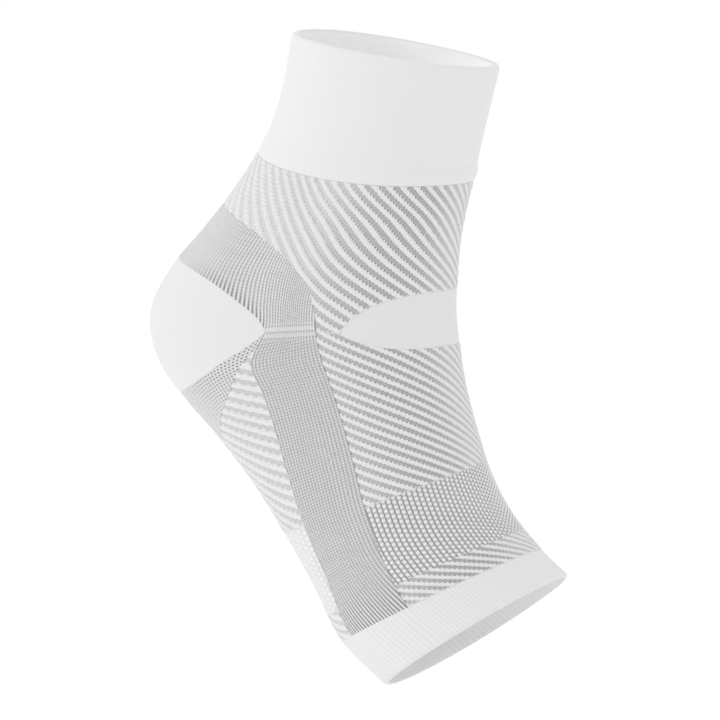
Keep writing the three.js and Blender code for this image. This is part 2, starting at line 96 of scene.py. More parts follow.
# How far the foot stretches the knit round itself, and the rows in which a zone is measured
KNIT_STRETCH = 1.2
FLAT_ROWS = 24
SHORTEST_SIDE = 10 * MM

# Stations run along the sleeve, with the section rows at whole numbers. Wale places run round it,
# from 0 at the front over 1 and 2 at the strip's edges to 3 at the back; the -Y side is positive.
TOP_RIM = 0.0
WELT_EDGE = 2.0
HEEL_TURN = 7.1
TOE_BAND = 14.0
TOE_RIM = 15.0
BACK = 3.0

# Zone borders, as in the solids
SLING_BORDER = (
    (1.00, 6.50), (1.03, 6.15), (1.12, 5.72), (1.35, 5.22), (1.70, 4.76),
    (2.05, 4.14), (2.32, 3.50), (2.58, 3.20), (3.00, 3.10),
)
# The sling's border against the ribs steps by this much, a step each few stitches, up to a place
FRINGE = 0.07
FRINGE_STITCHES = 2.0
FRINGE_END = 2.9
CUP_UPPER = (HEEL_TURN, -2.35, 2.8)
CUP_LOWER = (HEEL_TURN, 1.72, 2.6)
GUSSET_END = (7.55, 3.15, 1.72)
LEAF_TIP = 7.3
LEAF_ABOVE = 1.45
LEAF_BELOW = 0.85
LEAF_POWER = 4.3
CUSHION_START = 11.64
CUSHION_END = 13.45
CUSHION_START_SLANT = 0.26
CUSHION_END_SLANT = 0.10

# Stitches counted from the front to each wale place, and their density just before and after it
FOOT_STITCHES = ((0, 0, 58, 58), (1, 58, 41, 26), (2, 78, 26, 28), (3, 120, 42, 42))
ANKLE_STITCHES = ((0, 0, 54, 54), (1, 58.2, 33, 36), (2, 83.2, 43, 44), (3, 144, 31, 31))
SOLE_STITCHES = ((0, 0, 58, 58), (1, 58, 41, 26), (2, 78, 26, 15), (3, 114, 48, 48))
FRONT_STITCHES, STRIP_END, HALF_ROUND = (row[1] for row in FOOT_STITCHES[1:])
LEAF_TIP_STITCH = 49

# Grids of the walls, with rows in courses. The inner face has one row or column for INNER_STEP
# of the outer ones.
COLUMNS_PER_STITCH = 2
FINE_ROW = 1 / 3
CLOSE_ROW = 1 / 4
INNER_STEP = 6
COURSE_SAMPLES = 2000
WALE_SAMPLES = 3001
NORMAL_STEP = 0.004
TINY = 1e-9
# Relief sets in over these courses from a zone's border
TAPER = (-0.3, 0.6)
# Added to the courses to the heel cup where the sling ends at a strip instead, so that its ridges
# don't deepen there
FAR_COURSES = 50.0

# Diagonal ribs: one rib takes so many stitches round the sleeve and so many courses along it
RIB_STITCHES = 6.0
RIB_COURSES = 4.0
RIB_EDGE = 0.27
TOOTH_EDGE = 0.28
TOOTH_DEPTH = 0.10
LOWER_TOOTH = 0.03
TOOTH_STITCHES = 1.5
TOOTH_COURSES = -12.0
# How far a zone's ribs are moved, in courses, so that they lie as in the photograph
ANKLE_SHIFT = 0.5
INSTEP_SHIFT = 1.2
SOLE_SHIFT = 0.2
TOE_SHIFT = -1.15

# Cushion bumps: each takes two stitches and two courses, and they are moved by some stitches
BUMP_STITCHES = 2.0
BUMP_COURSES = 2.0
BUMP_SHIFT = -0.3

# Relief of each knit, out from the wall
RIB_HEIGHT = 0.28 * MM
RIB_CROWN = 0.06 * MM
RIB_SOFTNESS = 0.05
GROOVE_DEPTH = 0.34 * MM
CUSHION_HEIGHT = 0.50 * MM
CUSHION_SINK = 0.26 * MM
BUMP_POWER = 0.8
BUMP_END_POWER = 0.7
# Share of the relief that is left where the ball of the foot stretches the knit
BALL_SHARE = 0.4
FINE_RIDGE = 0.09 * MM
MESH_RIDGE = 0.10 * MM
BAND_RIDGE = 0.06 * MM
ROLL_HEIGHT = 0.9 * MM
ROLL_LENGTH = 8.0 * MM
ROLL_BACK_SHARE = 0.35
RIM_ROUND = 0.7 * MM
RIM_LENGTH = 1.2 * MM


def column(rows, name):
    """One named column of section rows."""
    return rows[:, COLUMNS.index(name)]


def section_rows():
    """Section rows in metres, one column each for COLUMNS."""
    rows = []
    for table, front, height, width in (
        (LEG_SECTIONS, INSTEP_FRONT, LEG_HEIGHT, ANKLE_WIDTH),
        (FOOT_SECTIONS, TOE_REACH, -TOE_DROP, FOOT_WIDTH),
    ):
        span = HEEL_BACK + front
        for values in table:
            row = dict(zip(COLUMNS, values))
            row["rear_x"] = row["rear_x"] * span - HEEL_BACK
            row["front_x"] = row["front_x"] * span - HEEL_BACK
            row["rear_z"] *= height
            row["front_z"] *= height
            row["dip"] *= width
            row["width"] *= width / 2
            row["course"] *= MM
            rows.append([row[name] for name in COLUMNS])
    return np.array(rows)


ROWS = section_rows()


def row_steps(end):
    """Distances from row to row between the points of one end, rear or front."""
    points = np.stack([column(ROWS, end + "_x"), column(ROWS, end + "_z")], -1)
    return np.linalg.norm(np.diff(points, axis=0), axis=1)


PLACES = np.concatenate(([0.0], np.cumsum((row_steps("rear") + row_steps("front")) / 2)))
STATIONS = np.arange(len(PLACES), dtype=float)


def course_table():
    """Places along the sleeve, in metres, and the courses counted from the top rim to each."""
    places = np.linspace(0, PLACES[-1], COURSE_SAMPLES)
    density = 1 / np.interp(places, PLACES, column(ROWS, "course"))
    steps = (density[1:] + density[:-1]) / 2 * np.diff(places)
    return places, np.concatenate(([0.0], np.cumsum(steps)))


COURSE_PLACES, COURSE_COUNTS = course_table()


def course_number(station):
    return np.interp(np.interp(station, STATIONS, PLACES), COURSE_PLACES, COURSE_COUNTS)


def station_of_course(course):
    return np.interp(np.interp(course, COURSE_COUNTS, COURSE_PLACES), PLACES, STATIONS)


def row_slopes():
    slopes = np.zeros_like(ROWS)
    slopes[0] = (ROWS[1] - ROWS[0]) / (PLACES[1] - PLACES[0])
    slopes[-1] = (ROWS[-1] - ROWS[-2]) / (PLACES[-1] - PLACES[-2])
    for i in range(1, len(ROWS) - 1):
        step_in = PLACES[i] - PLACES[i - 1]
        step_out = PLACES[i + 1] - PLACES[i]
        slope_in = (ROWS[i] - ROWS[i - 1]) / step_in
        slope_out = (ROWS[i + 1] - ROWS[i]) / step_out
        slopes[i] = (slope_in * step_out + slope_out * step_in) / (step_in + step_out)
    return slopes


SLOPES = row_slopes()


def hermite(start, slope_start, end, slope_end, step, share):
    square = share * share
    cube = square * share
    return (
        start * (2 * cube - 3 * square + 1)
        + slope_start * step * (cube - 2 * square + share)
        + end * (3 * square - 2 * cube)
        + slope_end * step * (cube - square)
    )


def sections_at(station):
    index = np.clip(np.floor(station).astype(int), 0, len(PLACES) - 2)
    share = (station - index)[:, None]
    step = (PLACES[index + 1] - PLACES[index])[:, None]
    return hermite(ROWS[index], SLOPES[index], ROWS[index + 1], SLOPES[index + 1], step, share)


def wale_angle(section, wale):
    """Angle round the section, in radians, for a wale place."""
    middle = column(section, "strip_mid")
    span = column(section, "strip_span") * STRIP_ANGLE / 2
    size = np.abs(wale)
    count = len(size)
    marks = np.stack([np.zeros(count), middle - span, middle + span, np.full(count, 180.0)], -1)
    steps = np.diff(marks, axis=1)
    blends = 2 * steps[:, :2] * steps[:, 1:] / (steps[:, :2] + steps[:, 1:])
    slopes = np.concatenate([steps[:, :1], blends, steps[:, 2:]], axis=1)
    index = np.clip(size.astype(int), 0, 2)
    rows = np.arange(count)
    angle = hermite(
        marks[rows, index], slopes[rows, index], marks[rows, index + 1], slopes[rows, index + 1],
        1.0, size - index,
    )
    return np.radians(angle) * np.sign(wale)


def near_side(wale):
    """The same place counted from the front the shorter way round."""
    return np.where(wale > BACK, wale - 2 * BACK, np.where(wale < -BACK, wale + 2 * BACK, wale))


def outer_points(wale, station):
    section = sections_at(station)
    angle = wale_angle(section, near_side(wale))
    along, across = np.cos(angle), np.sin(angle)
    power = np.where(along >= 0, column(section, "front_power"), column(section, "back_power"))
    reach = (np.abs(along) ** power + np.abs(across) ** power) ** (-1 / power)
    depth, side = along * reach, across * reach
    egg = column(section, "egg")
    depth = depth * (1 + np.where(depth >= 0, egg, -egg)) - egg
    rear_x, front_x = column(section, "rear_x"), column(section, "front_x")
    rear_z, front_z = column(section, "rear_z"), column(section, "front_z")
    x = (rear_x + front_x) / 2 + depth * (front_x - rear_x) / 2
    y = -side * column(section, "width")
    z = (rear_z + front_z) / 2 + depth * (front_z - rear_z) / 2
    return np.stack([x, y, z - column(section, "dip") * side * side], -1)


def outward(wale, station):
    """Unit normals of the outer face."""
    low = np.maximum(station - NORMAL_STEP, TOP_RIM)
    high = np.minimum(station + NORMAL_STEP, TOE_RIM)
    around = outer_points(wale + NORMAL_STEP, station) - outer_points(wale - NORMAL_STEP, station)
    down = outer_points(wale, high) - outer_points(wale, low)
    normal = np.cross(around, down)
    return normal / np.linalg.norm(normal, axis=1)[:, None]


def half_number(table, wale):
    """Stitches from the front to wale places of one half, 0 to 3."""
    number = np.zeros_like(wale)
    for (start, count, _, slope), (end, end_count, end_slope, _) in zip(table[:-1], table[1:]):
        inside = (wale >= start) & (wale <= end)
        curve = hermite(count, slope, end_count, end_slope, 1.0, np.clip(wale - start, 0, 1))
        number = np.where(inside, curve, number)
    return number


def stitch_number(table, wale, station):
    """Stitches from the front, growing on past the back, with the sway of the wales."""
    past = wale > BACK
    size = np.abs(np.where(past, 2 * BACK - wale, wale))
    number = half_number(table, size)
    sway = column(sections_at(station), "sway")
    number = number + sway * np.sin(math.pi * size / BACK)
    return np.where(past, 2 * table[-1][1] - number, np.where(wale < 0, -number, number))


WALE_STEPS = np.linspace(0, BACK, WALE_SAMPLES)
WALE_NUMBERS = half_number(FOOT_STITCHES, WALE_STEPS)


def wale_place(number):
    """Wale place of a stitch of the foot; numbers grow on past the back."""
    past = number > HALF_ROUND
    size = np.abs(np.where(past, 2 * HALF_ROUND - number, number))
    place = np.interp(size, WALE_NUMBERS, WALE_STEPS)
    return np.where(past, 2 * BACK - place, np.where(number < 0, -place, place))


LEAF_TIP_WALE = float(wale_place(np.array([LEAF_TIP_STITCH]))[0])


# Borders as functions of the wale place
def wedge(values, wale):
    start, reach, power = values
    place = np.clip(np.abs(near_side(wale)) - 2, 0, 1)
    return start + reach * (1 - (1 - place) ** power)


def smooth_table(rows, place):
    """A curve through the rows of a table, without overshoot."""
    xs, ys = np.array(rows).T
    steps = np.diff(ys) / np.diff(xs)
    inner = 2 * steps[1:] * steps[:-1] / (steps[1:] + steps[:-1])
    slopes = np.concatenate([steps[:1], inner, steps[-1:]])
    index = np.clip(np.searchsorted(xs, place, side="right") - 1, 0, len(xs) - 2)
    width = xs[index + 1] - xs[index]
    share = (place - xs[index]) / width
    return hermite(ys[index], slopes[index], ys[index + 1], slopes[index + 1], width, share)


def sling_upper(wale):
    """The sling's border against the ribs, stepped by the stitches that it cuts across."""
    size = np.abs(near_side(wale))
    step = np.mod(half_number(FOOT_STITCHES, size), FRINGE_STITCHES) / FRINGE_STITCHES - 0.5
    step = np.where((size > 1) & (size < FRINGE_END), step, 0.0)
    return smooth_table(SLING_BORDER, np.clip(size, 1, 3)) + FRINGE * step


def sling_lower(wale):
    return np.where(np.abs(near_side(wale)) < 2, HEEL_TURN, wedge(CUP_UPPER, wale))


def cup_upper(wale):
    return wedge(CUP_UPPER, wale)


def cup_lower(wale):
    return wedge(CUP_LOWER, wale)


def gusset_end(wale):
    return wedge(GUSSET_END, wale)


def leaf(wale, reach):
    size = np.abs(wale)
    share = np.clip(size / LEAF_TIP_WALE, 0, 1)
    beyond = np.clip((size - LEAF_TIP_WALE) / (1 - LEAF_TIP_WALE), 0, 1)
    bridge = LEAF_TIP + (HEEL_TURN - LEAF_TIP) * beyond
    return bridge + reach * (1 - share ** LEAF_POWER)


def leaf_upper(wale):
    return leaf(wale, -LEAF_ABOVE)


def leaf_lower(wale):
    return leaf(wale, LEAF_BELOW)


def ribs_lower(wale):
    """Lower border of the ribs round the ankle: the leaf in front, the sling at the back."""
    return np.where(np.abs(wale) < 1, leaf_upper(wale), sling_upper(wale))


def cushion_start(wale):
    return CUSHION_START + CUSHION_START_SLANT * np.clip(np.abs(near_side(wale)), 0, 1)


def cushion_end(wale):
    return CUSHION_END + CUSHION_END_SLANT * np.clip(np.abs(near_side(wale)), 0, 1)


def level(station):
    return lambda wale: np.full_like(np.asarray(wale, float), station)


# Relief of each knit, out from the wall, for stitch and course numbers
def soft_step(value, low, high):
    share = np.clip((value - low) / (high - low), 0, 1)
    return share * share * (3 - 2 * share)


def rib_relief(stitch, course):
    place = stitch / RIB_STITCHES + course / RIB_COURSES
    place = place - np.round(place)
    tooth = TOOTH_DEPTH * np.cos(2 * math.pi * (stitch / TOOTH_STITCHES + course / TOOTH_COURSES))
    edge = RIB_EDGE - tooth * LOWER_TOOTH / TOOTH_DEPTH
    below = soft_step(place - edge, -RIB_SOFTNESS, RIB_SOFTNESS)
    above = soft_step(-place - TOOTH_EDGE - tooth, -RIB_SOFTNESS, RIB_SOFTNESS)
    groove = np.maximum(below, above)
    crown = RIB_CROWN * np.cos(math.pi * place / RIB_EDGE)
    return (RIB_HEIGHT + crown) * (1 - groove) - GROOVE_DEPTH * groove


def cushion_relief(stitch, course):
    turn = (stitch - BUMP_SHIFT) / BUMP_STITCHES
    row = course / BUMP_COURSES + 0.5 * np.mod(np.floor(turn), 2)
    ends = np.abs(np.sin(math.pi * row)) ** BUMP_END_POWER
    bump = np.abs(np.sin(math.pi * turn)) * ends
    return (CUSHION_HEIGHT + CUSHION_SINK) * bump ** BUMP_POWER - CUSHION_SINK


def flattened(relief):
    """The same relief where the ball of the foot stretches the knit."""
    return lambda stitch, course: BALL_SHARE * relief(stitch, course)


def fine_relief(stitch, course):
    return -FINE_RIDGE * np.cos(2 * math.pi * stitch)


def mesh_relief(stitch, course):
    return -MESH_RIDGE * np.cos(2 * math.pi * stitch) * np.cos(math.pi * course)


def plain_relief(stitch, course):
    return np.zeros_like(stitch)


def band_relief(stitch, course):
    return -BAND_RIDGE * np.cos(2 * math.pi * stitch)


class Wall:
    """One layer of a zone: a grid of stitches and courses cut off at the zone's borders. Its
    vertices are numbered from start_id on."""

    def __init__(self, wale, courses, first, last, ring, start_id):
        rows, columns = courses.shape
        starts = np.argmax(courses > first[None, :] + TINY, axis=0) - 1
        ends = rows - np.argmax(courses[::-1] < last[None, :] - TINY, axis=0)
        starts, ends = np.maximum(starts, 0), np.minimum(ends, rows - 1)
        index = np.clip(np.arange(rows)[:, None], starts[None, :], ends[None, :])
        self.cells = start_id + index * columns + np.arange(columns)[None, :]
        self.course = np.clip(courses, first[None, :], last[None, :]).ravel()
        self.wale = np.broadcast_to(wale[None, :], courses.shape).ravel()
        self.station = station_of_course(self.course)
        self.to_top = self.course - np.broadcast_to(first[None, :], courses.shape).ravel()
        self.to_bottom = np.broadcast_to(last[None, :], courses.shape).ravel() - self.course
        self.joined = start_id + np.arange(rows * columns)
        if ring:
            joined = self.joined.reshape(rows, columns)
            joined[:, -1] = joined[:, 0]
            self.joined = joined.ravel()

    def quads(self):
        a, b = self.cells[:-1, :-1], self.cells[:-1, 1:]
        c, d = self.cells[1:, 1:], self.cells[1:, :-1]
        return np.stack([a, b, c, d], -1).reshape(-1, 4)


def outer_rise(layer, stitch, course, relief, lift, free_top, free_bottom):
    """Height of the outer face: its relief, tapered at the borders that aren't free, and its lift."""
    taper = np.ones_like(course)
    if not free_top:
        taper = taper * soft_step(layer.to_top, *TAPER)
    if not free_bottom:
        taper = taper * soft_step(layer.to_bottom, *TAPER)
    rise = relief(stitch, course) * taper
    if lift is not None:
        rise = rise + lift(layer.wale, np.interp(layer.station, STATIONS, PLACES))
    return rise


def rim_faces(outer_edge, inner_edge, coarse, flip):
    """Flat faces between the edges of the two layers, one for each step of the inner one."""
    faces = []
    for k in range(len(coarse) - 1):
        span = np.arange(coarse[k], coarse[k + 1] + 1)
        face = [*outer_edge[span], inner_edge[k + 1], inner_edge[k]]
        faces.append(face[::-1] if flip else face)
    return faces


def coarse_steps(count):
    """The rows or columns of an outer face that its inner face has too."""
    return np.unique(np.append(np.arange(0, count, INNER_STEP), count - 1))


def wall_mesh(
    name, wale, top, bottom, relief, table, wall=KNIT_WALL, row_step=FINE_ROW, shift=0.0, lift=None,
    ring=False, free_top=False, free_bottom=False, follow=False, mark="bottom", beyond=0.0,
):
    """A closed wall between two borders: a fine outer face, a coarser inner face and their rims."""
    first, last = course_number(top(wale)), course_number(bottom(wale))
    base = first if follow else np.zeros_like(first)
    low = math.floor((first - base).min() / row_step)
    high = math.ceil((last - base).max() / row_step)
    courses = base[None, :] + (np.arange(low, high + 1) * row_step)[:, None]
    outer = Wall(wale, courses, first, last, ring, 0)
    rows, columns = coarse_steps(courses.shape[0]), coarse_steps(courses.shape[1])
    inner = Wall(
        wale[columns], courses[np.ix_(rows, columns)], first[columns], last[columns], ring,
        courses.size,
    )

    points = []
    maps = []
    for layer in (outer, inner):
        stitch = stitch_number(table, layer.wale, layer.station)
        course = layer.course - (course_number(top(layer.wale)) if follow else 0) + shift
        if layer is outer:
            rise = outer_rise(layer, stitch, course, relief, lift, free_top, free_bottom)
        else:
            rise = np.full_like(course, -wall)
        normal = outward(layer.wale, layer.station)
        points.append(outer_points(layer.wale, layer.station) + normal * rise[:, None])
        around = np.abs(near_side(layer.wale))
        border = layer.to_bottom if mark == "bottom" else layer.to_top
        maps.append(np.stack([stitch, course, border + beyond * (around < 2), around], -1))

    rims = []
    for row, flip in ((0, False), (-1, True)):
        rims += rim_faces(outer.cells[row], inner.cells[row], columns, flip)
    if not ring:
        for side, flip in ((0, True), (-1, False)):
            rims += rim_faces(outer.cells[:, side], inner.cells[:, side], rows, flip)
    quads = np.concatenate([outer.quads()[:, ::-1], inner.quads()])
    joined = np.concatenate([outer.joined, inner.joined])
    return build_mesh(name, np.concatenate(points), quads, rims, joined, np.concatenate(maps))


def build_mesh(name, points, quads, rims, joined, maps):
    """Mesh of smooth quads, some of them closed to triangles at a border, and flat rim faces."""
    same = quads == np.roll(quads, -1, axis=1)
    whole = quads[~same.any(axis=1)]
    closed = quads[same.sum(axis=1) == 1]
    skip = same[same.sum(axis=1) == 1].argmax(axis=1)
    order = (skip[:, None] + np.arange(1, 4)[None, :]) % 4
    triangles = np.take_along_axis(closed, order, axis=1)
    loops = [whole.ravel(), triangles.ravel()]
    sizes = [np.full(len(whole), 4), np.full(len(triangles), 3)]
    flat_count = 0
    for rim in rims:
        corners = list(dict.fromkeys(int(corner) for corner in rim))
        if len(corners) >= 3:
            loops.append(np.array(corners))
            sizes.append(np.array([len(corners)]))
            flat_count += 1
    loops, sizes = np.concatenate(loops), np.concatenate(sizes)
    used, numbers = np.unique(joined[loops], return_inverse=True)
    mesh = bpy.data.meshes.new(name)
    mesh.vertices.add(len(used))
    mesh.vertices.foreach_set("co", points[used].ravel())
    mesh.loops.add(len(loops))
    mesh.loops.foreach_set("vertex_index", numbers.ravel())
    mesh.polygons.add(len(sizes))
    mesh.polygons.foreach_set("loop_start", np.concatenate(([0], np.cumsum(sizes)[:-1])))
    smooth = np.ones(len(sizes), dtype=bool)
    smooth[len(sizes) - flat_count:] = False
    mesh.polygons.foreach_set("use_smooth", smooth)
    for layer, columns in (("stitches", slice(0, 2)), ("borders", slice(2, 4))):
        mesh.uv_layers.new(name=layer).data.foreach_set("uv", maps[loops, columns].ravel())
    mesh.update(calc_edges=True)
    mesh.validate()
    piece = bpy.data.objects.new(name, mesh)
    bpy.context.scene.collection.objects.link(piece)
    return piece


def columns_between(start, end):
    steps = np.arange(start * COLUMNS_PER_STITCH, end * COLUMNS_PER_STITCH + 1)
    return wale_place(steps / COLUMNS_PER_STITCH)


def welt_lift(wale, along):
    """The welt's lower edge rolls outwards, most of all at the front, and its rim is rounded."""
    length = PLACES[int(WELT_EDGE)]
    into = np.clip((along - length + ROLL_LENGTH) / ROLL_LENGTH, 0, 1)
    height = ROLL_HEIGHT * (1 + (ROLL_BACK_SHARE - 1) * np.abs(near_side(wale)) / BACK)
    rim = 1 - soft_step(along, 0, RIM_LENGTH)
    return height * np.sin(into * math.pi) - RIM_ROUND * rim


def band_lift(wale, along):
    return -RIM_ROUND * (1 - soft_step(PLACES[-1] - along, 0, RIM_LENGTH))


# Node materials
CLOTH_SHADER = {
    "Roughness": 0.8,
    "Specular IOR Level": 0.25,
    "Sheen Weight": 0.15,
    "Sheen Roughness": 0.5,
}
# Height and strength of the yarn's bumps on the plain knits, the cushion and the others
PLAIN_YARN = (0.04 * MM, 0.4)
CUSHION_YARN = (0.06 * MM, 0.4)
COARSE_YARN = (0.1 * MM, 0.5)


class Nodes:
    """Short calls for a material's nodes."""

    def __init__(self, name):
        self.material = bpy.data.materials.new(name)
        self.material.use_nodes = True
        self.tree = self.material.node_tree
        self.shader = self.tree.nodes["Principled BSDF"]

    def put(self, socket, value):
        if isinstance(value, (int, float)):
            socket.default_value = value
        else:
            self.tree.links.new(value, socket)

    def math(self, operation, *values):
        node = self.tree.nodes.new("ShaderNodeMath")
        node.operation = operation
        for socket, value in zip(node.inputs, values):
            self.put(socket, value)
        return node.outputs[0]

    def add(self, first, second):
        return self.math("ADD", first, second)

    def less(self, first, second):
        return self.math("SUBTRACT", first, second)

    def band(self, value, low, full, end, high):
        """Rises to 1 between low and full and falls back to 0 between end and high."""
        return self.times(self.step(value, low, full), self.less(1.0, self.step(value, end, high)))

    def times(self, first, second):
        return self.math("MULTIPLY", first, second)

    def scaled(self, value, factor, offset):
        return self.math("MULTIPLY_ADD", value, factor, offset)

    def uv(self, layer):
        node = self.tree.nodes.new("ShaderNodeUVMap")
        node.uv_map = layer
        split = self.tree.nodes.new("ShaderNodeSeparateXYZ")
        self.tree.links.new(node.outputs[0], split.inputs[0])
        return split.outputs[0], split.outputs[1]

    def step(self, value, low, high):
        node = self.tree.nodes.new("ShaderNodeMapRange")
        node.interpolation_type = "SMOOTHSTEP"
        self.put(node.inputs["Value"], value)
        self.put(node.inputs["From Min"], low)
        self.put(node.inputs["From Max"], high)
        return node.outputs["Result"]

    def mix(self, share, first, second):
        node = self.tree.nodes.new("ShaderNodeMix")
        node.data_type = "RGBA"
        colours = [socket for socket in node.inputs if socket.type == "RGBA"]
        self.put(node.inputs[0], share)
        for socket, value in zip(colours, (first, second)):
            if isinstance(value, tuple):
                socket.default_value = (*value, 1.0)
            else:
                self.tree.links.new(value, socket)
        return [socket for socket in node.outputs if socket.type == "RGBA"][0]

    def noise(self, scale, detail=2.0):
        place = self.tree.nodes.new("ShaderNodeTexCoord")
        node = self.tree.nodes.new("ShaderNodeTexNoise")
        self.put(node.inputs["Scale"], scale)
        self.put(node.inputs["Detail"], detail)
        self.tree.links.new(place.outputs["Object"], node.inputs["Vector"])
        return node.outputs[0]

    def bump(self, height, distance, strength):
        node = self.tree.nodes.new("ShaderNodeBump")
        self.put(node.inputs["Strength"], strength)
        self.put(node.inputs["Distance"], distance)
        self.tree.links.new(height, node.inputs["Height"])
        self.tree.links.new(node.outputs[0], self.shader.inputs["Normal"])

    def wave(self, value):
        """1 at whole numbers, 0 half way between."""
        return self.scaled(self.math("COSINE", self.times(value, 2 * math.pi)), 0.5, 0.5)

    def colour(self, value):
        self.tree.links.new(value, self.shader.inputs["Base Color"])

    def cloth(self):
        for name, value in CLOTH_SHADER.items():
            self.put(self.shader.inputs[name], value)


def grey(value):
    return (value, value, value * 1.006)


WHITE = grey(0.78)
SOFT_WHITE = grey(0.74)
FAINT_LINE = grey(0.64)
# Grey of the ribs' grooves: partly grey yarn, partly painted shade in the grooves
GROOVE_GREY = grey(0.45)
# Paler groove grey of the ribs at the front and the sides: painted side light washing the grooves out
SIDE_LIT_GREY = grey(0.66)
# Paler groove grey of the sole's ribs at the sides: painted side light washing the grooves out
SOLE_GREY = grey(0.59)
# Pale grey of the ribs' grooves round the back, painted light washing them out, and of the cushion's
# ground under the ball
FADED_GREY = grey(0.72)
# Dark dots of the ribs, also used for the painted shadow under each rib
DOT_AND_SHADOW_GREY = grey(0.28)
# Paler grey of the ribs' dots and painted shadow at the front and the sides: painted side light
SIDE_LIT_DOT_AND_SHADOW_GREY = grey(0.56)
STRIP_DARK = grey(0.31)
BACK_GREY = grey(0.61)
MESH_GREY = grey(0.66)
HOLE_GREY = grey(0.18)
CUSHION_MID = grey(0.58)
# Dark furrows between the cushion's bump columns: painted shade
CUSHION_FURROW_SHADE = grey(0.33)

# Wale places from which and to which a look changes: 0 front, 1 and 2 the strip's edges, 3 back
# The next two: where painted side light pales the ribs' grooves, at the front and round the sides
FRONT_SIDE_LIGHT = (0.05, 0.45)
SIDE_LIGHT = (0.5, 1.4)
SIDE_NARROWING = (1.0, 2.0)
SIDE_RUNGS = (1.5, 2.3)
BALL_FADE = (1.9, 2.1)
TURN_FADE = (1.98, 2.04)
BACK_LIGHTENING = (2.0, 2.6)
# Where painted light from behind pales the ribs' grooves round the back
RIB_BACK_LIGHT = (2.1, 2.9)
STRIP_FADE = (2.25, 2.65)
MESH_FADE = (2.3, 2.85)

# Size of the knit's unevenness: noise waves in a metre, on the plain knits, the ribs and the strips
PLAIN_NOISE = 70.0
RIB_NOISE = 900.0
STRIP_NOISE = 1300.0

# Ribs: soft edges of the grooves, dark dots beside the upper edge and painted shadow in dots under the
# lower edge, as shares of a rib
UPPER_SOFTNESS = (-0.08, 0.07)
LOWER_SOFTNESS = (-0.06, 0.07)
UPPER_DOTS = (-0.02, 0.04, 0.07, 0.17)
# Band of painted shadow just under each rib's lower edge
RIB_SHADOW_BAND = (-0.02, 0.04, 0.08, 0.17)
DOT_LENGTH = (0.3, 0.9)
# Strength of the painted shadow under the ribs
RIB_SHADOW_SHARE = 0.6
NARROWING = 0.05
UNEVENNESS = 0.12
# Shares of the painted side light at the front, of the lines between a rib's stitches and of those
# across it
FRONT_LIGHT_SHARE = 0.75
RIB_LINE_SHARE = 0.35
RUNG_SHARE = 0.5
# Grooves close at a zone's border, over these courses, later between two stitches than at them
CLOSING = (0.45, 0.8)
CLOSING_LAG = 0.5

# Strips: shares of the lines between stitches, near the marked border and away from it
LINE_SHARE = 0.6
NEAR_LINE_SHARE = 0.3
DEEP_SHARE = 0.7
PATCHINESS = 0.5
# The rows of pinholes along the heel turn: the course they lie on, their reach in courses to
# either side, how far apart they are and how strongly they show
TURN_COURSE = float(course_number(HEEL_TURN))
TURN_REACH = (2.0, 3.2)
TURN_ROWS = 2.0
PINHOLE_SHARE = 0.8
TURN_SHARE = 0.85

# Courses over which the mesh's holes grow faint from the heel cup on, and their share beyond
MESH_DEPTH = 22.0
MESH_SHARE = 0.4

# Share of the fading of the cushion's ground under the ball of the foot
BALL_FADE_SHARE = 0.95


def yarn_height(nodes, stitch, course):
    """Two slanting legs of yarn in each stitch."""
    side = nodes.math("ABSOLUTE", nodes.less(nodes.math("FRACT", stitch), 0.5))
    legs = nodes.wave(nodes.scaled(side, 1.1, course))
    return nodes.less(legs, nodes.times(nodes.wave(stitch), 0.8))


def plain_material(name, white, line_share, stitches=1.0):
    """Smooth white knit, with faint lines along its wales."""
    nodes = Nodes(name)
    stitch, course = nodes.uv("stitches")
    lines = nodes.step(nodes.wave(nodes.times(stitch, stitches)), 0.4, 1.0)
    share = nodes.scaled(lines, line_share, nodes.times(nodes.noise(PLAIN_NOISE), 0.08))
    nodes.colour(nodes.mix(share, white, FAINT_LINE))
    nodes.cloth()
    nodes.bump(yarn_height(nodes, stitch, course), *PLAIN_YARN)
    return nodes.material


